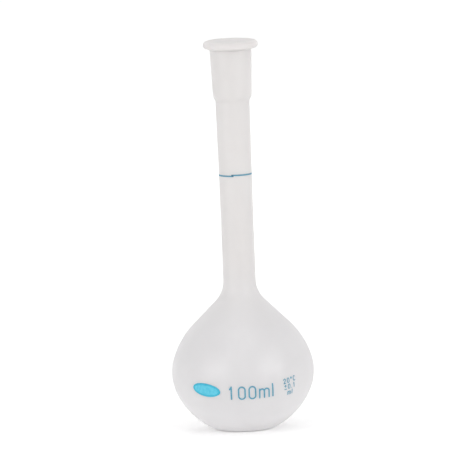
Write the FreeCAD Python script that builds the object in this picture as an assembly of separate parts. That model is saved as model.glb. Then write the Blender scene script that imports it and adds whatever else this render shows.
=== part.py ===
"""A moulded plastic volumetric flask: body, tapered stopper and printed marks.

Millimetres, +Z up. The origin is on the flask's axis, on the surface it stands on,
and the printed marks face -Y.
"""
import FreeCAD, Part
import math
import os

# Bulb: its outside is a chain of tangent arcs from the foot up to a straight cone
bulb_diameter = 60.6
foot_diameter = 21.2
foot_corner_radius = 7.6
foot_corner_slope = 27.0        # degrees from level, where the corner ends
lower_flank_slope = 63.5        # degrees from level, where the flank ends
equator_radius = 21.7
equator_lean = 19.0             # degrees from upright, where the equator arc ends
shoulder_radius = 35.5
cone_lean = 45.0                # degrees from upright
wall = 1.2

# Foot: a flat ring to stand on, with the middle pushed up
foot_ring_width = 3.0
push_up_height = 0.9

# Neck: a straight stretch, then a slight draft up to the socket
neck_root_radius = 11.9
neck_diameter = 13.9
neck_straight_length = 24.2
neck_draft_length = 53.0

# Socket: a thicker mouth with a 1:10 tapered bore
mouth_diameter = 14.5
mouth_chamfer = 0.3
taper_length = 23.0
taper_per_mm = 0.1              # change of diameter for each millimetre of depth
socket_step_height = 1.9
socket_length = 20.5
socket_foot_wall = 2.1
socket_top_wall = 1.7
rim_round = 0.4

# Stopper: a flat round head on a hollow tapered plug that is open below
head_overhang = 2.75            # beyond the outside of the socket
head_thickness = 3.4
head_edge_round = 1.5
plug_length = 22.0
plug_wall = 1.3
plug_tip_round = 0.5
plug_crown = 1.6                # plastic over the hollow, below the head
taper_clearance = 0.04          # between plug and socket, square to the axis

# Printed marks: offsets run to the right along the bulb from its front
ink_thickness = 0.06
ring_height_on_neck = 45.7      # above the foot of the straight neck
ring_line_width = 0.6
print_pitch = 14.0              # degrees that the bulb's print faces below level

# Capacity in plain figures
capacity_signs = ["1", "0", "0", "m", "l"]
capacity_height = 5.5
capacity_stroke = 0.62
capacity_gap = 1.14
capacity_offset = 2.95
capacity_rise = -0.15

# Write-on field: a framed oval for a pencil note
field_width = 13.4
field_height = 5.9
field_frame_width = 0.9
field_offset = -17.0
field_rise = 0.05

# Calibration note in small figures
note_lines = [["2", "0", "deg", "C"], ["+-", "0", ".", "1"], ["m", "l"]]
note_height = 1.95
note_stroke = 0.32
note_gap = 0.62
note_line_pitch = 2.75
note_offset = 21.4
note_rise = -0.5

ORIGIN = FreeCAD.Vector(0, 0, 0)
AXIS_X = FreeCAD.Vector(1, 0, 0)
AXIS_Y = FreeCAD.Vector(0, 1, 0)
AXIS_Z = FreeCAD.Vector(0, 0, 1)


def point(across, up):
    """A point of a drawing in the XZ plane."""
    return FreeCAD.Vector(across, 0, up)


def sine(degrees):
    return math.sin(math.radians(degrees))


def cosine(degrees):
    return math.cos(math.radians(degrees))


def tangent(degrees):
    return math.tan(math.radians(degrees))


class Pen:
    """Draws an outline in the XZ plane from straight runs and tangent arcs."""

    def __init__(self, across, up, heading=0.0):
        self.across = across
        self.up = up
        self.heading = heading
        self.edges = []

    def here(self):
        return point(self.across, self.up)

    def line_to(self, across, up):
        """A straight run to a point."""
        end = point(across, up)
        self.edges.append(Part.LineSegment(self.here(), end).toShape())
        self.heading = math.degrees(math.atan2(up - self.up, across - self.across))
        self.across = across
        self.up = up
        return self

    def arc(self, radius, end_heading):
        """An arc that leaves along the present heading and ends along another."""
        side = 1 if end_heading > self.heading else -1
        centre_across = self.across - side * radius * sine(self.heading)
        centre_up = self.up + side * radius * cosine(self.heading)

        def on_arc(heading):
            return point(centre_across + side * radius * sine(heading),
                         centre_up - side * radius * cosine(heading))

        middle = on_arc((self.heading + end_heading) / 2)
        end = on_arc(end_heading)
        self.edges.append(Part.Arc(self.here(), middle, end).toShape())
        self.heading = end_heading
        self.across = end.x
        self.up = end.z
        return self


def turned(edges):
    """The solid swept once round the axis by a closed outline."""
    outline = Part.Wire(Part.__sortEdges__(edges))
    return Part.Face(outline).revolve(ORIGIN, AXIS_Z, 360)


# Bulb and foot, worked out from the sizes above
bulb_radius = bulb_diameter / 2
foot_radius = foot_diameter / 2
push_up_reach = foot_radius - foot_ring_width
lower_flank_radius = ((bulb_radius - foot_radius
                       - foot_corner_radius * sine(foot_corner_slope)
                       - equator_radius * (1 - sine(lower_flank_slope)))
                      / (sine(lower_flank_slope) - sine(foot_corner_slope)))
bulb_arcs = [
    (foot_corner_radius, foot_corner_slope),
    (lower_flank_radius, lower_flank_slope),
    (equator_radius, 90.0 + equator_lean),
    (shoulder_radius, 90.0 + cone_lean),
]


def bulb_pen(inset):
    """A pen that has drawn the bulb's arcs, set in from the outside by inset."""
    pen = Pen(foot_radius, inset)
    for radius, end_heading in bulb_arcs:
        pen.arc(radius - inset, end_heading)
    return pen


def neck_root_pen(inset):
    """The bulb's arcs, the straight cone and the arc into the neck."""
    pen = bulb_pen(inset)
    radius = neck_root_radius + inset
    cone_end = neck_radius + neck_root_radius - radius * cosine(cone_lean)
    pen.line_to(cone_end, pen.up + (pen.across - cone_end) / tangent(cone_lean))
    return pen.arc(radius, 90.0)


def floor_edges(inset):
    """The pushed-up middle of the foot and its flat ring, from the axis outwards."""
    dome_radius = (push_up_reach ** 2 + push_up_height ** 2) / (2 * push_up_height)
    dome_slope = math.degrees(math.asin(push_up_reach / dome_radius))
    pen = Pen(0, push_up_height + inset).arc(dome_radius, -dome_slope)
    return pen.line_to(foot_radius, inset).edges


# Neck and socket, worked out from the sizes above
neck_radius = neck_diameter / 2
neck_root_z = neck_root_pen(0).up
neck_straight_z = neck_root_z + neck_straight_length
neck_top_z = neck_straight_z + neck_draft_length
socket_foot_z = neck_top_z + socket_step_height
rim_z = socket_foot_z + socket_length
taper_end_z = rim_z - taper_length
ring_z = neck_root_z + ring_height_on_neck


def socket_radius_at(height):
    """Radius of the tapered bore at a height."""
    return (mouth_diameter - taper_per_mm * (rim_z - height)) / 2


neck_top_radius = socket_radius_at(taper_end_z) + wall
socket_top_radius = mouth_diameter / 2 + socket_top_wall


def neck_radius_at(height):
    """Outside radius of the neck at a height."""
    share = max(0.0, (height - neck_straight_z) / neck_draft_length)
    return neck_radius + (neck_top_radius - neck_radius) * share


def bore_pen():
    """The inside of the flask from the foot to the small end of the socket."""
    pen = neck_root_pen(wall)
    pen.line_to(neck_radius - wall, neck_straight_z)
    return pen.line_to(socket_radius_at(taper_end_z), taper_end_z)


def flask_body():
    """Foot, bulb, neck and socket in one moulding."""
    pen = neck_root_pen(0)
    pen.line_to(neck_radius, neck_straight_z)
    pen.line_to(neck_top_radius, neck_top_z)
    pen.line_to(socket_radius_at(socket_foot_z) + socket_foot_wall, socket_foot_z)
    pen.line_to(socket_top_radius, rim_z - rim_round)
    pen.heading = 90.0
    pen.arc(rim_round, 180.0)
    pen.line_to(mouth_diameter / 2 + mouth_chamfer, rim_z)
    chamfer_foot_z = rim_z - mouth_chamfer
    pen.line_to(socket_radius_at(chamfer_foot_z), chamfer_foot_z)
    pen.line_to(socket_radius_at(taper_end_z), taper_end_z)
    middle = Pen(0, push_up_height).line_to(0, push_up_height + wall)
    return turned(floor_edges(0) + pen.edges + bore_pen().edges
                  + floor_edges(wall) + middle.edges)


def stopper():
    """Flat head with a rounded edge, on a hollow plug that follows the socket."""
    head_radius = socket_top_radius + head_overhang
    edge_round = min(head_edge_round, 0.45 * head_thickness)
    top_z = rim_z + head_thickness
    tip_z = rim_z - plug_length
    tip_round_z = tip_z + plug_tip_round
    crown_z = rim_z - plug_crown

    def plug_radius_at(height):
        return socket_radius_at(height) - taper_clearance

    pen = Pen(0, top_z)
    pen.line_to(head_radius - edge_round, top_z)
    pen.arc(edge_round, -90.0)
    pen.line_to(head_radius, rim_z + edge_round)
    pen.arc(edge_round, -180.0)
    pen.line_to(plug_radius_at(rim_z), rim_z)
    pen.line_to(plug_radius_at(tip_round_z), tip_round_z)
    pen.heading = -90.0
    pen.arc(plug_tip_round, -180.0)
    pen.line_to(plug_radius_at(tip_z) - plug_wall, tip_z)
    pen.line_to(plug_radius_at(crown_z) - plug_wall, crown_z)
    pen.line_to(0, crown_z)
    pen.line_to(0, top_z)
    return turned(pen.edges)


def graduation_ring():
    """The line round the neck that marks the full measure."""
    low = ring_z - ring_line_width / 2
    high = ring_z + ring_line_width / 2
    pen = Pen(neck_radius_at(low), low)
    pen.line_to(neck_radius_at(low) + ink_thickness, low)
    pen.line_to(neck_radius_at(high) + ink_thickness, high)
    pen.line_to(neck_radius_at(high), high)
    pen.line_to(neck_radius_at(low), low)
    return turned(pen.edges)


class InkPen(Pen):
    """A pen that leaves a flat band of ink, round at its ends and corners."""

    def __init__(self, across, up, stroke, heading=0.0):
        super().__init__(across, up, heading)
        self.half = stroke / 2
        self.faces = [self.spot()]

    def spot(self):
        """A spot of ink as wide as the band."""
        return Part.Face(Part.Wire(Part.Circle(self.here(), AXIS_Y, self.half).toShape()))

    def sides(self):
        """Plain pens at the left and right edges of the band."""
        return [Pen(self.across - offset * sine(self.heading),
                    self.up + offset * cosine(self.heading), self.heading)
                for offset in (self.half, -self.half)]

    def fill(self, starts, sides):
        """Inks the band between two sides, and the spot at its end."""
        ends = [Part.LineSegment(*starts).toShape(),
                Part.LineSegment(*[side.here() for side in sides]).toShape()]
        outline = Part.__sortEdges__(sides[0].edges + sides[1].edges + ends)
        self.faces += [Part.Face(Part.Wire(outline)), self.spot()]
        return self

    def line_to(self, across, up):
        self.heading = math.degrees(math.atan2(up - self.up, across - self.across))
        sides = self.sides()
        starts = [side.here() for side in sides]
        for side in sides:
            side.line_to(side.across + across - self.across, side.up + up - self.up)
        super().line_to(across, up)
        return self.fill(starts, sides)

    def arc(self, radius, end_heading):
        sides = self.sides()
        starts = [side.here() for side in sides]
        inward = self.half if end_heading > self.heading else -self.half
        sides[0].arc(radius - inward, end_heading)
        sides[1].arc(radius + inward, end_heading)
        super().arc(radius, end_heading)
        return self.fill(starts, sides)


# Share of a sign's height that its drawn width takes
SIGN_WIDTHS = {"0": 0.5, "1": 0.5, "2": 0.5, "C": 0.5, "+-": 0.5, "m": 0.76, "deg": 0.3, "l": 0.0, ".": 0.0}


def sign_pens(sign, height, stroke):
    """The pens that draw one sign, centred, with its base line at zero."""
    half = SIGN_WIDTHS[sign] * height / 2
    if sign == "0":
        pen = InkPen(half, half, stroke).line_to(half, height - half).arc(half, 270.0)
        return [pen.line_to(-half, half).arc(half, 90.0)]
    if sign == "1":
        flag_fall = 0.2 * height
        return [InkPen(-half / 2, height - flag_fall, stroke).line_to(0, height).line_to(0, 0)]
    if sign == "2":
        pen = InkPen(-half, height - half, stroke, 90.0).arc(half, -127.0)
        return [pen.line_to(-half, 0).line_to(half, 0)]
    if sign == "C":
        gap_angle = 30.0
        pen = InkPen(half * cosine(gap_angle), height - half + half * sine(gap_angle), stroke,
                     90.0 + gap_angle)
        return [pen.arc(half, 270.0).line_to(-half, half).arc(half, 90.0 - gap_angle)]
    if sign == "+-":
        cross_z = height - half
        return [
            InkPen(-half, cross_z, stroke).line_to(half, cross_z),
            InkPen(0, height, stroke).line_to(0, height - 2 * half),
            InkPen(-half, 0, stroke).line_to(half, 0),
        ]
    if sign == "m":
        arch = half / 2
        small_height = 0.72 * height
        pens = [InkPen(-half, 0, stroke).line_to(-half, small_height)]
        for left in (-half, 0):
            pen = InkPen(left, small_height - arch, stroke, 90.0).arc(arch, -90.0)
            pens.append(pen.line_to(left + half, 0))
        return pens
    if sign == "deg":
        return [InkPen(half, height - half, stroke, 90.0).arc(half, 270.0).arc(half, 450.0)]
    if sign == "l":
        return [InkPen(0, 0, stroke).line_to(0, height)]
    return [InkPen(0, 0, stroke)]


def oval_plate(width, height):
    """A flat oval, centred."""
    outline = Part.Ellipse(point(width / 2, 0), point(0, height / 2), ORIGIN)
    return Part.Face(Part.Wire(outline.toShape()))


# The print's frame: its centre is where the bulb's normal at the print meets the axis
equator_z = (foot_corner_radius
             + (lower_flank_radius - foot_corner_radius) * cosine(foot_corner_slope)
             + (equator_radius - lower_flank_radius) * cosine(lower_flank_slope))
hub_reach = bulb_radius - equator_radius
print_centre_z = equator_z + hub_reach * tangent(print_pitch)
print_reach = equator_radius + hub_reach / cosine(print_pitch)


def ink_skin():
    """A skin of ink all over the bulb, from which each print is cut."""
    inner = bulb_pen(0)
    outer = bulb_pen(-ink_thickness)
    foot = Pen(foot_radius, 0).line_to(foot_radius, -ink_thickness)
    top = Pen(inner.across, inner.up).line_to(outer.across, outer.up)
    return turned(inner.edges + outer.edges + foot.edges + top.edges)


def print_block(faces):
    """Flat faces in the XZ plane as one block that reaches past the bulb's front."""
    blocks = [face.extrude(FreeCAD.Vector(0, -bulb_diameter, 0)) for face in faces]
    return blocks[0].multiFuse(blocks[1:]).removeSplitter() if len(blocks) > 1 else blocks[0]


def printed(block, offset, rise):
    """The ink that a block cuts from the skin, at an offset along the bulb."""
    block.translate(point(0, rise))
    block.rotate(ORIGIN, AXIS_Z, math.degrees(offset / print_reach))
    block.rotate(ORIGIN, AXIS_X, print_pitch)
    block.translate(point(0, print_centre_z))
    return ink_skin().common(block).Solids


def printed_line(signs, height, stroke, gap, offset, rise):
    """A line of signs in ink, centred on an offset along the bulb."""
    widths = [SIGN_WIDTHS[sign] * height + stroke for sign in signs]
    left = offset - (sum(widths) + gap * (len(signs) - 1)) / 2
    solids = []
    for sign, width in zip(signs, widths):
        faces = [face for pen in sign_pens(sign, height, stroke) for face in pen.faces]
        solids += printed(print_block(faces), left + width / 2, rise - height / 2)
        left += width + gap
    return solids


def capacity_mark():
    """The flask's measure in large figures, with its unit."""
    return Part.makeCompound(printed_line(capacity_signs, capacity_height, capacity_stroke,
                                          capacity_gap, capacity_offset, capacity_rise))


def calibration_note():
    """Temperature, tolerance and unit in short lines of small figures."""
    top_rise = note_rise + note_line_pitch * (len(note_lines) - 1) / 2
    solids = []
    for row, signs in enumerate(note_lines):
        solids += printed_line(signs, note_height, note_stroke, note_gap, note_offset,
                               top_rise - row * note_line_pitch)
    return Part.makeCompound(solids)


def field_blank_block():
    """The middle of the write-on field, inside its frame."""
    return print_block([oval_plate(field_width - 2 * field_frame_width,
                                   field_height - 2 * field_frame_width)])


def field_frame():
    """The coloured border of the write-on field."""
    plate = oval_plate(field_width, field_height)
    frame = print_block([plate]).cut(field_blank_block())
    return Part.makeCompound(printed(frame, field_offset, field_rise))


def field_blank():
    """The pale middle of the write-on field."""
    return Part.makeCompound(printed(field_blank_block(), field_offset, field_rise))


def measure_to_ring():
    """Volume inside the flask up to the ring, in millilitres."""
    inside = bore_pen()
    top = Pen(inside.across, inside.up).line_to(0, inside.up)
    middle = Pen(0, inside.up).line_to(0, push_up_height + wall)
    cavity = turned(floor_edges(wall) + inside.edges + top.edges + middle.edges)
    above = Part.makeCylinder(bulb_diameter, rim_z, point(0, ring_z))
    return cavity.cut(above).Volume / 1000


def main():
    os.makedirs("parts", exist_ok=True)
    nodes = {
        "flask_body": flask_body(),
        "stopper": stopper(),
        "graduation_ring": graduation_ring(),
        "capacity_mark": capacity_mark(),
        "field_frame": field_frame(),
        "field_blank": field_blank(),
        "calibration_note": calibration_note(),
    }
    for name, shape in nodes.items():
        shape.exportStep(f"parts/{name}.step")
        print(f"{name}: {len(shape.Solids)} solids, {shape.Volume:.2f} mm3, valid {shape.isValid()}")
    print(f"The ring, {ring_z:.2f} mm above the foot, holds {measure_to_ring():.2f} ml")
    print(f"Neck from {neck_root_z:.2f}, rim {rim_z:.2f}, top {rim_z + head_thickness:.2f} mm")


main()
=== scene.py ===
"""A moulded plastic volumetric flask with its stopper and prints, dressed for a studio picture.

Metres, +Z up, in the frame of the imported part: the origin is on the flask's axis, on the
surface it stands on, and the prints face -Y.
"""
import logging
import math
from dataclasses import dataclass
from enum import Enum

import bmesh
import bpy
from bmesh.types import BMesh, BMEdge, BMVert
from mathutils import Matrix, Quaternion, Vector


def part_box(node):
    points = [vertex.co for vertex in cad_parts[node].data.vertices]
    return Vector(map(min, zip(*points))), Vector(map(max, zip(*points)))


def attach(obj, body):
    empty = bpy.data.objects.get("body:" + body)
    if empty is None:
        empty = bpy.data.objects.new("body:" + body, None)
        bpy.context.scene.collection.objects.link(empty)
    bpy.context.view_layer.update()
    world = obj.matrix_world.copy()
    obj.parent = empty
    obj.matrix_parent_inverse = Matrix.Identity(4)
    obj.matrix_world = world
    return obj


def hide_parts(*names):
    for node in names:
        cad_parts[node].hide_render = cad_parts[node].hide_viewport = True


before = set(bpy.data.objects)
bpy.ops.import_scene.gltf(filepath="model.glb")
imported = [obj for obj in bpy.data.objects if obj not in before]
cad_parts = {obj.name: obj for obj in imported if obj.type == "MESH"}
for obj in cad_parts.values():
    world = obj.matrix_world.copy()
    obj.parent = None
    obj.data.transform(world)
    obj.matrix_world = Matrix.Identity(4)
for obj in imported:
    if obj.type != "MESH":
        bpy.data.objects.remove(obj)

log = logging.getLogger("flask")

Colour = tuple[float, float, float]

MM = 0.001
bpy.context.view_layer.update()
MERGE_DISTANCE = 0.0005 * MM
ROUND_STEPS = 160               # meridians in one turn of a moulding
ARC_STEP = 3.0                  # degrees of a drawn arc for each of its edges
CREASE_ANGLE = 32.0             # degrees between faces, above which an edge stays sharp
CORNER_TOLERANCE = 0.01 * MM    # how near a vertex lies to a corner that it belongs to
CORNER_SEGMENTS = 4             # edges across a softened corner
DOUBLE_INK = "double_ink"       # the number on a print's faces that says where it overlaps
MIX_FIRST, MIX_SECOND = 6, 7    # colour inputs of Blender's Mix node, whose names repeat
MIX_RESULT = 2                  # its colour output


class Body(Enum):
    """The bodies of the part, which move apart."""

    FLASK = "flask"
    STOPPER = "stopper"


class Slot(Enum):
    """The finishes that the record names."""

    FLASK_PLASTIC = "flask_plastic"
    STOPPER_PLASTIC = "stopper_plastic"
    RING_INK = "ring_ink"
    MARK_INK = "mark_ink"
    FRAME_INK = "frame_ink"
    FIELD_INK = "field_ink"


class Recipe:
    """The node tree of one material: a Principled shader and what feeds it."""

    def __init__(self, name: str) -> None:
        """Starts a material.

        Args:
            name: the material's name.
        """
        self.material = bpy.data.materials.new(name)
        self.material.use_nodes = True
        self.tree = self.material.node_tree
        self.shader = self.tree.nodes["Principled BSDF"]
        self.place = self.tree.nodes.new("ShaderNodeTexCoord").outputs["Object"]

    def settle(self, **values: float | tuple[float, float, float]) -> None:
        """Sets sockets of the shader that are the same all over the surface.

        Args:
            values: socket names, with underscores for spaces, and their values.
        """
        for name, value in values.items():
            self.shader.inputs[name.replace("_", " ")].default_value = value

    def feed(self, socket: str, source: bpy.types.NodeSocket) -> None:
        """Links a node's output to a socket of the shader."""
        self.tree.links.new(source, self.shader.inputs[socket])

    def noise(self, size: float, detail: float = 2.0, stretch: float = 1.0) -> bpy.types.NodeSocket:
        """Makes soft noise in the piece's own coordinates.

        Args:
            size: the distance from one blotch to the next, in metres.
            detail: octaves of finer noise on top.
            stretch: how many times longer the blotches are along Z.

        Returns:
            The noise, from 0 to 1.
        """
        mapping = self.tree.nodes.new("ShaderNodeMapping")
        mapping.inputs["Scale"].default_value = (1.0, 1.0, 1.0 / stretch)
        texture = self.tree.nodes.new("ShaderNodeTexNoise")
        texture.inputs["Scale"].default_value = 1.0 / size
        texture.inputs["Detail"].default_value = detail
        self.tree.links.new(self.place, mapping.inputs["Vector"])
        self.tree.links.new(mapping.outputs["Vector"], texture.inputs["Vector"])
        return texture.outputs["Fac"]

    def attribute(self, name: str) -> bpy.types.NodeSocket:
        """Reads a number that the mesh carries on its faces.

        Args:
            name: the number's name.

        Returns:
            The number.
        """
        reader = self.tree.nodes.new("ShaderNodeAttribute")
        reader.attribute_name = name
        return reader.outputs["Fac"]

    def height_share(self, low: float, high: float) -> bpy.types.NodeSocket:
        """Gives how far a point lies between two heights.

        Args:
            low: the height that gives 0, in metres.
            high: the height that gives 1, in metres.

        Returns:
            The share, from 0 to 1, with soft ends.
        """
        split = self.tree.nodes.new("ShaderNodeSeparateXYZ")
        self.tree.links.new(self.place, split.inputs["Vector"])
        share = self.tree.nodes.new("ShaderNodeMapRange")
        share.interpolation_type = "SMOOTHSTEP"
        share.inputs["From Min"].default_value = low
        share.inputs["From Max"].default_value = high
        self.tree.links.new(split.outputs["Z"], share.inputs["Value"])
        return share.outputs["Result"]

    def spread(self, source: bpy.types.NodeSocket, low: float, high: float,
               start: float = 0.3, end: float = 0.7) -> bpy.types.NodeSocket:
        """Stretches noise over a range of values.

        Args:
            source: the noise.
            low: the value where the noise is at start.
            high: the value where the noise is at end.
            start: low end of the noise that is used.
            end: high end of the noise that is used.

        Returns:
            The stretched values.
        """
        stretched = self.tree.nodes.new("ShaderNodeMapRange")
        stretched.inputs["From Min"].default_value = start
        stretched.inputs["From Max"].default_value = end
        stretched.inputs["To Min"].default_value = low
        stretched.inputs["To Max"].default_value = high
        self.tree.links.new(source, stretched.inputs["Value"])
        return stretched.outputs["Result"]

    def blend(self, share: bpy.types.NodeSocket, first: bpy.types.NodeSocket | Colour,
              second: bpy.types.NodeSocket | Colour) -> bpy.types.NodeSocket:
        """Mixes two colours.

        Args:
            share: how much of the second colour, from 0 to 1.
            first: a colour, or a node's output.
            second: a colour, or a node's output.

        Returns:
            The mixed colour.
        """
        mix = self.tree.nodes.new("ShaderNodeMix")
        mix.data_type = "RGBA"
        self.tree.links.new(share, mix.inputs["Factor"])
        for socket, colour in zip((mix.inputs[MIX_FIRST], mix.inputs[MIX_SECOND]), (first, second)):
            if isinstance(colour, tuple):
                socket.default_value = (*colour, 1.0)
            else:
                self.tree.links.new(colour, socket)
        return mix.outputs[MIX_RESULT]

    def relief(self, sources: list[tuple[bpy.types.NodeSocket, float]]) -> None:
        """Roughens the surface with a chain of bumps.

        Args:
            sources: pairs of a noise and its height in metres.
        """
        previous = None
        for source, height in sources:
            bump = self.tree.nodes.new("ShaderNodeBump")
            bump.inputs["Distance"].default_value = height
            self.tree.links.new(source, bump.inputs["Height"])
            if previous is not None:
                self.tree.links.new(previous, bump.inputs["Normal"])
            previous = bump.outputs["Normal"]
        self.feed("Normal", previous)


@dataclass(frozen=True)
class MilkyPlastic:
    """Natural polypropylene: milky, satin, and a little clearer where it was blown thin."""

    name: str
    blown: Colour = (0.880, 0.866, 0.874)
    moulded: Colour = (0.892, 0.868, 0.859)
    blown_below: float = 40.0 * MM
    moulded_above: float = 78.0 * MM
    cloud_size: float = 14.0 * MM
    cloud_depth: float = 0.025
    flow_size: float = 12.0 * MM
    flow_stretch: float = 7.0
    flow_height: float = 0.004 * MM
    skin_size: float = 0.45 * MM
    skin_height: float = 0.0025 * MM
    roughness: float = 0.34
    roughness_swing: float = 0.02
    clearness: float = 0.25
    index: float = 1.49
    scatter_radius: float = 1.0 * MM

    def material(self) -> bpy.types.Material:
        """Makes the material.

        Returns:
            The material.
        """
        recipe = Recipe(self.name)
        clouds = recipe.noise(self.cloud_size, detail=3.0)
        flow = recipe.noise(self.flow_size, stretch=self.flow_stretch)
        skin = recipe.noise(self.skin_size)
        height = recipe.height_share(self.blown_below, self.moulded_above)
        plain = recipe.blend(height, self.blown, self.moulded)
        depth = 1.0 - self.cloud_depth
        dense = recipe.blend(height, tuple(depth * tone for tone in self.blown),
                             tuple(depth * tone for tone in self.moulded))
        recipe.feed("Base Color", recipe.blend(recipe.spread(clouds, 0.0, 1.0), plain, dense))
        recipe.feed("Roughness", recipe.spread(flow, self.roughness - self.roughness_swing,
                                               self.roughness + self.roughness_swing))
        recipe.relief([(flow, self.flow_height), (skin, self.skin_height)])
        recipe.settle(IOR=self.index, Transmission_Weight=self.clearness, Subsurface_Weight=1.0,
                      Subsurface_Radius=(1.0, 1.0, 1.0), Subsurface_Scale=self.scatter_radius)
        return recipe.material


@dataclass(frozen=True)
class PrintedInk:
    """Screen-printed ink: a thin coloured film with the grain of the mesh and some thin spots."""

    name: str
    full: Colour
    thin: Colour
    double: Colour | None = None    # where the print runs over itself
    blotch_size: float = 1.1 * MM
    grain_size: float = 0.16 * MM
    grain_height: float = 0.006 * MM
    roughness: float = 0.42
    roughness_swing: float = 0.08

    def material(self) -> bpy.types.Material:
        """Makes the material.

        Returns:
            The material.
        """
        recipe = Recipe(self.name)
        blotches = recipe.noise(self.blotch_size, detail=3.0)
        grain = recipe.noise(self.grain_size)
        colour = recipe.blend(recipe.spread(blotches, 0.0, 1.0), self.full, self.thin)
        if self.double is not None:
            colour = recipe.blend(recipe.attribute(DOUBLE_INK), colour, self.double)
        recipe.feed("Base Color", colour)
        recipe.feed("Roughness", recipe.spread(grain, self.roughness - self.roughness_swing,
                                               self.roughness + self.roughness_swing))
        recipe.relief([(grain, self.grain_height)])
        return recipe.material


class Meridian:
    """A pen that draws one side of a turned outline in the XZ plane, as a wire of edges."""

    def __init__(self, mesh: BMesh, across: float, up: float) -> None:
        """Puts the pen down.

        Args:
            mesh: takes the wire.
            across: distance of the start from the axis.
            up: height of the start.
        """
        self.mesh = mesh
        self.tip = mesh.verts.new((across, 0.0, up))
        self.heading = 0.0

    def run_to(self, across: float, up: float) -> "Meridian":
        """Draws a straight run.

        Args:
            across: distance of its end from the axis.
            up: height of its end.

        Returns:
            The pen.
        """
        end = bmesh.ops.extrude_vert_indiv(self.mesh, verts=[self.tip])["verts"][0]
        step = Vector((across, 0.0, up)) - end.co
        bmesh.ops.translate(self.mesh, verts=[end], vec=step)
        self.heading = math.degrees(math.atan2(step.z, step.x))
        self.tip = end
        return self

    def arc(self, radius: float, end_heading: float) -> "Meridian":
        """Draws an arc that leaves along the present heading.

        Args:
            radius: the arc's radius.
            end_heading: degrees from outwards, turning upwards, where the arc ends.

        Returns:
            The pen.
        """
        turn = end_heading - self.heading
        slope = math.radians(self.heading)
        side = math.copysign(radius, turn)
        centre = self.tip.co + Vector((-side * math.sin(slope), 0.0, side * math.cos(slope)))
        made = bmesh.ops.spin(self.mesh, geom=[self.tip], cent=centre, axis=(0.0, -1.0, 0.0),
                              angle=math.radians(turn), steps=math.ceil(abs(turn) / ARC_STEP))
        self.tip = next(item for item in made["geom_last"] if isinstance(item, BMVert))
        self.heading = end_heading
        return self

    def here(self) -> tuple[float, float]:
        """Gives the pen's distance from the axis and its height."""
        return self.tip.co.x, self.tip.co.z


def turn_round(mesh: BMesh) -> None:
    """Sweeps the wire in a mesh once round the Z axis, and closes seam and poles.

    Args:
        mesh: holds the wire, and then the turned faces.
    """
    bmesh.ops.spin(mesh, geom=mesh.verts[:] + mesh.edges[:], cent=(0.0, 0.0, 0.0),
                   axis=(0.0, 0.0, 1.0), angle=math.tau, steps=ROUND_STEPS, use_merge=True)
    bmesh.ops.remove_doubles(mesh, verts=mesh.verts, dist=MERGE_DISTANCE)
    bmesh.ops.dissolve_degenerate(mesh, edges=mesh.edges, dist=MERGE_DISTANCE)
    bmesh.ops.recalc_face_normals(mesh, faces=mesh.faces)


def edges_round(mesh: BMesh, across: float, up: float) -> list[BMEdge]:
    """Finds the ring of edges at one corner of a turned shape.

    Args:
        mesh: the turned shape.
        across: the corner's distance from the axis.
        up: the corner's height.

    Returns:
        The edges of that ring.
    """
    def on_ring(vertex: BMVert) -> bool:
        """Tells whether a vertex is on the ring."""
        return (abs(vertex.co.xy.length - across) < CORNER_TOLERANCE
                and abs(vertex.co.z - up) < CORNER_TOLERANCE)

    return [edge for edge in mesh.edges if all(on_ring(vertex) for vertex in edge.verts)]


def soften(mesh: BMesh, across: float, up: float, size: float) -> None:
    """Rounds the corner of a turned shape.

    Args:
        mesh: the turned shape.
        across: the corner's distance from the axis.
        up: the corner's height.
        size: how far from the corner the round begins.
    """
    bmesh.ops.bevel(mesh, geom=edges_round(mesh, across, up), offset=size,
                    segments=CORNER_SEGMENTS, profile=0.5, affect="EDGES", material=-1)


def make_piece(name: str, mesh: BMesh, material: bpy.types.Material) -> bpy.types.Object:
    """Turns a finished bmesh into an object of the scene, smooth but for its creases.

    Args:
        name: the object's name.
        mesh: its shape, which is used up.
        material: its finish.

    Returns:
        The object.
    """
    for face in mesh.faces:
        face.smooth = True
    data = bpy.data.meshes.new(name)
    mesh.to_mesh(data)
    log.info("%s: %d faces, %.0f mm3", name, len(mesh.faces), mesh.calc_volume(signed=True) / MM**3)
    mesh.free()
    data.set_sharp_from_angle(angle=math.radians(CREASE_ANGLE))
    data.materials.append(material)
    made = bpy.data.objects.new(name, data)
    bpy.context.scene.collection.objects.link(made)
    return made


def fit_piece(made: bpy.types.Object, body: Body, node: str) -> None:
    """Puts a piece in the place of a CAD node.

    Args:
        made: the piece.
        body: the body that it moves with.
        node: the CAD node that it stands for.
    """
    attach(made, body.value)
    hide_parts(node)


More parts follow.
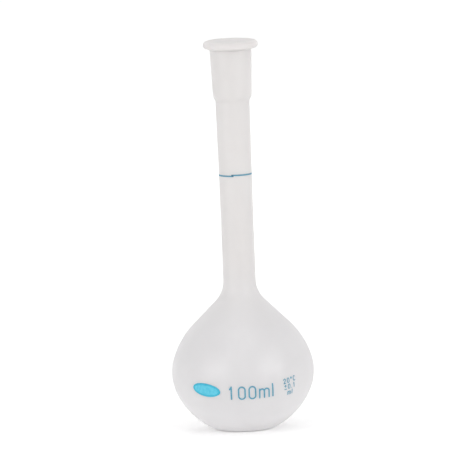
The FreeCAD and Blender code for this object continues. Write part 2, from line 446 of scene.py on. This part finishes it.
@dataclass
class FlaskBody:
    """The blown moulding: foot, bulb, neck and tapered socket, hollow and open at the mouth."""

    foot_radius: float = 10.6 * MM
    foot_corner_radius: float = 7.6 * MM
    foot_corner_slope: float = 27.0
    lower_flank_slope: float = 63.5
    equator_radius: float = 21.7 * MM
    equator_lean: float = 19.0
    shoulder_radius: float = 35.5 * MM
    cone_lean: float = 45.0
    wall: float = 1.2 * MM
    foot_ring_width: float = 3.0 * MM
    push_up_height: float = 0.9 * MM
    gate_radius: float = 1.1 * MM
    gate_height: float = 0.3 * MM
    neck_root_radius: float = 11.9 * MM
    neck_radius: float = 6.95 * MM
    neck_straight_length: float = 24.2 * MM
    neck_top_radius: float = 7.3 * MM
    mouth_radius: float = 7.25 * MM
    mouth_chamfer: float = 0.3 * MM
    taper_length: float = 23.0 * MM
    taper_slope: float = 0.05
    socket_step_height: float = 1.9 * MM
    socket_length: float = 20.5 * MM
    socket_foot_wall: float = 2.1 * MM
    socket_top_wall: float = 1.7 * MM
    rim_round: float = 0.4 * MM
    step_round: float = 0.55 * MM
    seam_width: float = 0.3 * MM
    seam_height: float = 0.03 * MM
    seam_start: float = 0.8 * MM

    def __post_init__(self) -> None:
        """Takes the bulb's width and the rim's height from the CAD node."""
        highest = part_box("flask_body")[1]
        self.bulb_radius = highest.x
        self.rim = highest.z
        self.taper_end = self.rim - self.taper_length
        self.socket_foot = self.rim - self.socket_length
        self.neck_top = self.socket_foot - self.socket_step_height

    def lower_flank_radius(self) -> float:
        """Joins the foot's corner to the equator so that the bulb has its width.

        Returns:
            The radius of the lower flank's arc.
        """
        corner = math.sin(math.radians(self.foot_corner_slope))
        flank = math.sin(math.radians(self.lower_flank_slope))
        room = (self.bulb_radius - self.foot_radius - self.foot_corner_radius * corner
                - self.equator_radius * (1.0 - flank))
        return room / (flank - corner)

    def socket_radius_at(self, height: float) -> float:
        """Gives the radius of the tapered bore at a height."""
        return self.mouth_radius - self.taper_slope * (self.rim - height)

    def draw_floor(self, pen: Meridian, inset: float, start: float) -> None:
        """Draws the pushed-up middle of the foot and its flat ring, outwards.

        Args:
            pen: draws it, and stands where the dome begins.
            inset: 0 outside, or the wall's thickness inside.
            start: distance from the axis where the dome begins.
        """
        reach = self.foot_radius - self.foot_ring_width
        dome_radius = (reach**2 + self.push_up_height**2) / (2.0 * self.push_up_height)
        pen.heading = -math.degrees(math.asin(start / dome_radius))
        pen.arc(dome_radius, -math.degrees(math.asin(reach / dome_radius)))
        pen.run_to(self.foot_radius, inset)

    def draw_bulb(self, pen: Meridian, inset: float) -> None:
        """Draws the bulb's arcs, its cone and the arc into the neck.

        Args:
            pen: draws them, and stands at the foot's edge.
            inset: 0 outside, or the wall's thickness inside.
        """
        pen.heading = 0.0
        pen.arc(self.foot_corner_radius - inset, self.foot_corner_slope)
        pen.arc(self.lower_flank_radius() - inset, self.lower_flank_slope)
        pen.arc(self.equator_radius - inset, 90.0 + self.equator_lean)
        pen.arc(self.shoulder_radius - inset, 90.0 + self.cone_lean)
        across, up = pen.here()
        root_radius = self.neck_root_radius + inset
        lean = math.radians(self.cone_lean)
        cone_end = self.neck_radius + self.neck_root_radius - root_radius * math.cos(lean)
        pen.run_to(cone_end, up + (across - cone_end) / math.tan(lean))
        pen.arc(root_radius, 90.0)

    def draw_inside(self, mesh: BMesh) -> None:
        """Draws the inside, from the middle of the floor up to the small end of the socket.

        Args:
            mesh: takes the wire.
        """
        pen = Meridian(mesh, 0.0, self.push_up_height + self.wall)
        self.draw_floor(pen, self.wall, 0.0)
        self.draw_bulb(pen, self.wall)
        across, up = pen.here()
        pen.run_to(across, up + self.neck_straight_length)
        pen.run_to(self.socket_radius_at(self.taper_end), self.taper_end)

    def draw_outside(self, mesh: BMesh) -> None:
        """Draws the outside, from the gate mark under the foot up over the rim and into the socket.

        Args:
            mesh: takes the wire.
        """
        gate_face = self.push_up_height - self.gate_height
        pen = Meridian(mesh, 0.0, gate_face)
        pen.run_to(self.gate_radius, gate_face)
        pen.run_to(self.gate_radius, self.push_up_height)
        self.draw_floor(pen, 0.0, self.gate_radius)
        self.draw_bulb(pen, 0.0)
        across, up = pen.here()
        pen.run_to(across, up + self.neck_straight_length)
        pen.run_to(self.neck_top_radius, self.neck_top)
        pen.run_to(self.socket_radius_at(self.socket_foot) + self.socket_foot_wall, self.socket_foot)
        pen.run_to(self.mouth_radius + self.socket_top_wall, self.rim - self.rim_round)
        pen.heading = 90.0
        pen.arc(self.rim_round, 180.0)
        pen.run_to(self.mouth_radius + self.mouth_chamfer, self.rim)
        chamfer_foot = self.rim - self.mouth_chamfer
        pen.run_to(self.socket_radius_at(chamfer_foot), chamfer_foot)
        pen.run_to(self.socket_radius_at(self.taper_end), self.taper_end)

    def raise_seam(self, mesh: BMesh) -> None:
        """Raises the fine parting line of the two mould halves, up both sides.

        Args:
            mesh: the turned moulding.
        """
        for side in (-0.5, 0.5):
            bmesh.ops.bisect_plane(mesh, geom=mesh.verts[:] + mesh.edges[:] + mesh.faces[:],
                                   plane_co=(0.0, side * self.seam_width, 0.0),
                                   plane_no=(0.0, 1.0, 0.0), dist=MERGE_DISTANCE)
        for vertex in mesh.verts:
            outward = Vector((vertex.co.x, 0.0, 0.0)).normalized()
            outside = vertex.normal.dot(outward) > 0.0 and vertex.co.z < self.rim - self.rim_round
            if abs(vertex.co.y) < MERGE_DISTANCE and outside and vertex.co.z > self.seam_start:
                vertex.co += self.seam_height * vertex.normal

    def build(self, material: bpy.types.Material) -> bpy.types.Object:
        """Builds the moulding.

        Args:
            material: its plastic.

        Returns:
            The piece, riding on the flask.
        """
        mesh = bmesh.new()
        self.draw_outside(mesh)
        self.draw_inside(mesh)
        turn_round(mesh)
        socket_foot_radius = self.socket_radius_at(self.socket_foot) + self.socket_foot_wall
        soften(mesh, self.neck_top_radius, self.neck_top, self.step_round)
        soften(mesh, socket_foot_radius, self.socket_foot, self.step_round)
        mesh.normal_update()
        self.raise_seam(mesh)
        made = make_piece("flask_moulding", mesh, material)
        fit_piece(made, Body.FLASK, "flask_body")
        return made


@dataclass
class Stopper:
    """The flat-headed stopper: a round head with a dished top, on a hollow tapered plug."""

    edge_round: float = 1.5 * MM
    dish_margin: float = 2.6 * MM
    dish_depth: float = 0.1 * MM
    dish_slope_width: float = 4.5 * MM
    gate_radius: float = 0.9 * MM
    gate_height: float = 0.08 * MM
    plug_length: float = 22.0 * MM
    plug_wall: float = 1.3 * MM
    plug_tip_round: float = 0.5 * MM
    plug_crown: float = 1.6 * MM
    taper_clearance: float = 0.04 * MM
    seat_gap: float = 0.005 * MM

    def __post_init__(self) -> None:
        """Takes the head's width and height from the CAD nodes."""
        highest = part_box("stopper")[1]
        self.head_radius = highest.x
        self.top = highest.z
        self.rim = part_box("flask_body")[1].z

    def draw_top(self, pen: Meridian) -> None:
        """Draws the gate mark, the dish and the head's rounded edge.

        Args:
            pen: stands on the axis, on the gate mark.
        """
        dish_floor = self.top - self.dish_depth
        dish_edge = self.head_radius - self.dish_margin
        pen.run_to(self.gate_radius, dish_floor + self.gate_height)
        pen.run_to(self.gate_radius, dish_floor)
        pen.run_to(dish_edge - self.dish_slope_width, dish_floor)
        pen.run_to(dish_edge, self.top)
        pen.run_to(self.head_radius - self.edge_round, self.top)
        pen.arc(self.edge_round, -90.0)
        underside = self.rim + self.seat_gap
        pen.run_to(self.head_radius, underside + self.edge_round)
        pen.arc(self.edge_round, -180.0)

    def build(self, flask: FlaskBody, material: bpy.types.Material) -> bpy.types.Object:
        """Builds the stopper to fit a flask.

        Args:
            flask: gives the taper that the plug follows.
            material: the stopper's plastic.

        Returns:
            The piece, riding on the stopper.
        """
        def plug_radius_at(height: float) -> float:
            """Gives the plug's radius at a height."""
            return flask.socket_radius_at(height) - self.taper_clearance

        tip = self.rim - self.plug_length
        crown = self.rim - self.plug_crown
        mesh = bmesh.new()
        pen = Meridian(mesh, 0.0, self.top - self.dish_depth + self.gate_height)
        self.draw_top(pen)
        underside = self.rim + self.seat_gap
        pen.run_to(plug_radius_at(underside), underside)
        pen.run_to(plug_radius_at(tip + self.plug_tip_round), tip + self.plug_tip_round)
        pen.heading = -90.0
        pen.arc(self.plug_tip_round, -180.0)
        pen.run_to(plug_radius_at(tip) - self.plug_wall, tip)
        pen.run_to(plug_radius_at(crown) - self.plug_wall, crown)
        pen.run_to(0.0, crown)
        turn_round(mesh)
        made = make_piece("stopper_moulding", mesh, material)
        fit_piece(made, Body.STOPPER, "stopper")
        return made


@dataclass
class GraduationRing:
    """The printed line round the neck, whose two ends overlap and miss each other a little."""

    ink_thickness: float = 0.06 * MM
    seam_angle: float = -104.0      # degrees round from +X to where the line begins
    overlap_angle: float = 7.5
    rise: float = -0.38 * MM
    sunk_share: float = 0.5         # of the ink's thickness, below the plastic's surface
    steps: int = 220

    def mark_overlap(self, mesh: BMesh) -> None:
        """Marks the faces where the line's end lies over its beginning.

        Args:
            mesh: the finished line.
        """
        double = mesh.faces.layers.float.new(DOUBLE_INK)
        for face in mesh.faces:
            middle = face.calc_center_median()
            turn = math.degrees(math.atan2(middle.y, middle.x)) - self.seam_angle
            face[double] = 1.0 if turn % 360.0 < self.overlap_angle else 0.0

    def build(self, material: bpy.types.Material) -> bpy.types.Object:
        """Builds the line where the CAD node lies.

        Args:
            material: its ink.

        Returns:
            The piece, riding on the flask.
        """
        lowest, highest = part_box("graduation_ring")
        half = (highest.z - lowest.z) / 2.0
        outside = highest.x
        inside = outside - (1.0 + self.sunk_share) * self.ink_thickness
        middle = (highest.z + lowest.z) / 2.0 - self.rise / 2.0
        mesh = bmesh.new()
        bmesh.ops.create_grid(mesh, x_segments=1, y_segments=1, size=1.0)
        for vertex in mesh.verts:
            across = outside if vertex.co.x > 0.0 else inside
            vertex.co = Vector((across, 0.0, middle + math.copysign(half, vertex.co.y)))
        bmesh.ops.rotate(mesh, verts=mesh.verts, cent=(0.0, 0.0, 0.0),
                         matrix=Quaternion((0.0, 0.0, 1.0), math.radians(self.seam_angle)).to_matrix())
        bmesh.ops.spin(mesh, geom=mesh.verts[:] + mesh.edges[:] + mesh.faces[:], cent=(0.0, 0.0, 0.0),
                       axis=(0.0, 0.0, 1.0), dvec=(0.0, 0.0, self.rise / self.steps),
                       angle=math.radians(360.0 + self.overlap_angle), steps=self.steps)
        bmesh.ops.recalc_face_normals(mesh, faces=mesh.faces)
        self.mark_overlap(mesh)
        made = make_piece("graduation_line", mesh, material)
        fit_piece(made, Body.FLASK, "graduation_ring")
        return made


@dataclass(frozen=True)
class SoftLamp:
    """A soft rectangular lamp that faces a point on the flask's axis."""

    name: str
    angle: float                    # degrees round to the right from the camera's side
    distance: float
    height: float
    width: float
    length: float
    level: float                    # brightness of its face, where white paper in full light is 1
    aim_height: float = 60.0 * MM
    mirrored: bool = True           # whether glossy surfaces show it

    def hang(self) -> None:
        """Puts the lamp in the scene."""
        lamp = bpy.data.lights.new(self.name, "AREA")
        lamp.shape = "RECTANGLE"
        lamp.size = self.width
        lamp.size_y = self.length
        lamp.energy = self.level * math.pi * self.width * self.length
        stand = bpy.data.objects.new(self.name, lamp)
        turn = math.radians(self.angle)
        place = Vector((self.distance * math.sin(turn), -self.distance * math.cos(turn), self.height))
        facing = Vector((0.0, 0.0, self.aim_height)) - place
        stand.location = place
        stand.rotation_mode = "QUATERNION"
        stand.rotation_quaternion = facing.to_track_quat("-Z", "Y")
        stand.visible_camera = False
        stand.visible_glossy = self.mirrored
        bpy.context.scene.collection.objects.link(stand)


@dataclass
class Studio:
    """A pale floor, soft lamps and a long lens at the angle of the photograph."""

    aim: tuple[float, float, float] = (-5.25 * MM, 0.0, 87.7 * MM)
    distance: float = 5.0
    elevation: float = 7.5
    roll: float = 2.25
    view_width: float = 192.0 * MM
    sensor: float = 36.0
    floor_size: float = 9.0
    floor_colour: float = 0.95
    near_lift: float = 0.20         # glow that only shows, beside the flask
    far_lift: float = 0.46          # the same far off, where the lamps don't reach
    lift_start: float = 0.15
    lift_end: float = 0.90
    room_light: float = 0.57
    lamps: tuple[SoftLamp, ...] = (
        SoftLamp("left_box", angle=-50.0, distance=1.1, height=0.32,
                 width=0.72, length=0.60, level=2.4),
        SoftLamp("right_box", angle=47.5, distance=1.1, height=0.36,
                 width=0.72, length=0.60, level=2.75),
        SoftLamp("left_fill", angle=-100.0, distance=1.2, height=0.30,
                 width=0.70, length=0.90, level=0.6, mirrored=False),
        SoftLamp("right_fill", angle=100.0, distance=1.2, height=0.30,
                 width=0.70, length=0.90, level=0.5, mirrored=False),
        SoftLamp("top_box", angle=0.0, distance=0.35, height=1.25,
                 width=0.80, length=0.80, level=0.95),
        SoftLamp("back_box", angle=180.0, distance=0.90, height=0.90,
                 width=0.70, length=0.50, level=2.4, mirrored=False),
        SoftLamp("table_glow", angle=0.0, distance=0.0, height=0.2 * MM,
                 width=0.08, length=0.08, level=0.24, mirrored=False),
    )

    def seen(self, tree: bpy.types.NodeTree) -> bpy.types.NodeSocket:
        """Tells camera, mirror and see-through rays from those that carry light.

        Args:
            tree: takes the nodes.

        Returns:
            1 for rays that show the surface, and 0 for rays that light others.
        """
        path = tree.nodes.new("ShaderNodeLightPath")
        shown = path.outputs["Is Camera Ray"]
        for ray in ("Is Glossy Ray", "Is Transmission Ray"):
            either = tree.nodes.new("ShaderNodeMath")
            either.operation = "MAXIMUM"
            tree.links.new(shown, either.inputs[0])
            tree.links.new(path.outputs[ray], either.inputs[1])
            shown = either.outputs["Value"]
        return shown

    def light_room(self) -> None:
        """Makes the world: white to look at, and an even soft light."""
        world = bpy.data.worlds.new("white_room")
        bpy.context.scene.world = world
        world.use_nodes = True
        tree = world.node_tree
        level = tree.nodes.new("ShaderNodeMapRange")
        level.inputs["To Min"].default_value = self.room_light
        level.inputs["To Max"].default_value = 1.0
        tree.links.new(self.seen(tree), level.inputs["Value"])
        background = tree.nodes["Background"]
        background.inputs["Color"].default_value = (1.0, 1.0, 1.0, 1.0)
        tree.links.new(level.outputs["Result"], background.inputs["Strength"])

    def lift_by_distance(self, tree: bpy.types.NodeTree) -> bpy.types.NodeSocket:
        """Gives the floor's glow, which grows away from the flask so that its shadow stays.

        Args:
            tree: takes the nodes.

        Returns:
            The strength of the glow.
        """
        place = tree.nodes.new("ShaderNodeTexCoord").outputs["Object"]
        distance = tree.nodes.new("ShaderNodeVectorMath")
        distance.operation = "LENGTH"
        tree.links.new(place, distance.inputs[0])
        strength = tree.nodes.new("ShaderNodeMapRange")
        strength.interpolation_type = "SMOOTHSTEP"
        strength.inputs["From Min"].default_value = self.lift_start
        strength.inputs["From Max"].default_value = self.lift_end
        strength.inputs["To Min"].default_value = self.near_lift
        strength.inputs["To Max"].default_value = self.far_lift
        tree.links.new(distance.outputs["Value"], strength.inputs["Value"])
        return strength.outputs["Result"]

    def lay_floor(self) -> None:
        """Lays the floor, which looks white where nothing shades it."""
        mesh = bmesh.new()
        bmesh.ops.create_grid(mesh, x_segments=1, y_segments=1, size=self.floor_size / 2.0)
        data = bpy.data.meshes.new("floor")
        mesh.to_mesh(data)
        mesh.free()
        floor = bpy.data.objects.new("floor", data)
        bpy.context.scene.collection.objects.link(floor)
        material = bpy.data.materials.new("floor_paper")
        material.use_nodes = True
        tree = material.node_tree
        tree.nodes.remove(tree.nodes["Principled BSDF"])
        paper = tree.nodes.new("ShaderNodeBsdfDiffuse")
        paper.inputs["Color"].default_value = (self.floor_colour,) * 3 + (1.0,)
        glow = tree.nodes.new("ShaderNodeEmission")
        lift = tree.nodes.new("ShaderNodeMath")
        lift.operation = "MULTIPLY"
        both = tree.nodes.new("ShaderNodeAddShader")
        tree.links.new(self.seen(tree), lift.inputs[0])
        tree.links.new(self.lift_by_distance(tree), lift.inputs[1])
        tree.links.new(lift.outputs["Value"], glow.inputs["Strength"])
        tree.links.new(paper.outputs["BSDF"], both.inputs[0])
        tree.links.new(glow.outputs["Emission"], both.inputs[1])
        tree.links.new(both.outputs["Shader"], tree.nodes["Material Output"].inputs["Surface"])
        data.materials.append(material)

    def set_camera(self) -> None:
        """Sets the camera, rolled a little as in the photograph."""
        lens = bpy.data.cameras.new("camera")
        lens.sensor_width = self.sensor
        lens.lens = self.sensor * self.distance / self.view_width
        camera = bpy.data.objects.new("camera", lens)
        tilt = math.radians(self.elevation)
        back = Vector((0.0, -math.cos(tilt), math.sin(tilt)))
        camera.location = Vector(self.aim) + self.distance * back
        camera.rotation_mode = "QUATERNION"
        level = (-back).to_track_quat("-Z", "Y")
        camera.rotation_quaternion = level @ Quaternion((0.0, 0.0, 1.0), -math.radians(self.roll))
        bpy.context.scene.collection.objects.link(camera)
        bpy.context.scene.camera = camera

    def build(self) -> None:
        """Sets up the whole studio."""
        bpy.context.scene.view_settings.view_transform = "Standard"
        self.light_room()
        self.lay_floor()
        for lamp in self.lamps:
            lamp.hang()
        self.set_camera()


FLASK_PLASTIC = MilkyPlastic("milky_plastic")
STOPPER_PLASTIC = MilkyPlastic("stopper_plastic", moulded=(0.875, 0.845, 0.836), roughness=0.42,
                               roughness_swing=0.04, scatter_radius=2.2 * MM)
RING_INK = PrintedInk("ring_ink", full=(0.06, 0.26, 0.38), thin=(0.10, 0.34, 0.47),
                      double=(0.03, 0.16, 0.25))
MARK_INK = PrintedInk("mark_ink", full=(0.07, 0.30, 0.44), thin=(0.12, 0.39, 0.53))
FRAME_INK = PrintedInk("frame_ink", full=(0.02, 0.41, 0.59), thin=(0.04, 0.47, 0.65))
FIELD_INK = PrintedInk("field_ink", full=(0.065, 0.51, 0.69), thin=(0.125, 0.60, 0.765))


def dress_node(node: str, material: bpy.types.Material) -> None:
    """Gives a CAD node that stays in the picture its finish.

    Args:
        node: the node's name.
        material: its finish.
    """
    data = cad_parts[node].data
    data.materials.clear()
    data.materials.append(material)
    log.info("%s: print dressed in %s", node, material.name)


def main() -> None:
    """Builds the flask, its stopper, its prints and the studio."""
    logging.basicConfig(level=logging.INFO, format="%(name)s: %(message)s")
    flask = FlaskBody()
    flask.build(FLASK_PLASTIC.material())
    Stopper().build(flask, STOPPER_PLASTIC.material())
    GraduationRing().build(RING_INK.material())
    mark_ink = MARK_INK.material()
    dress_node("capacity_mark", mark_ink)
    dress_node("calibration_note", mark_ink)
    dress_node("field_frame", FRAME_INK.material())
    dress_node("field_blank", FIELD_INK.material())
    Studio().build()


if __name__ == "__main__":
    main()
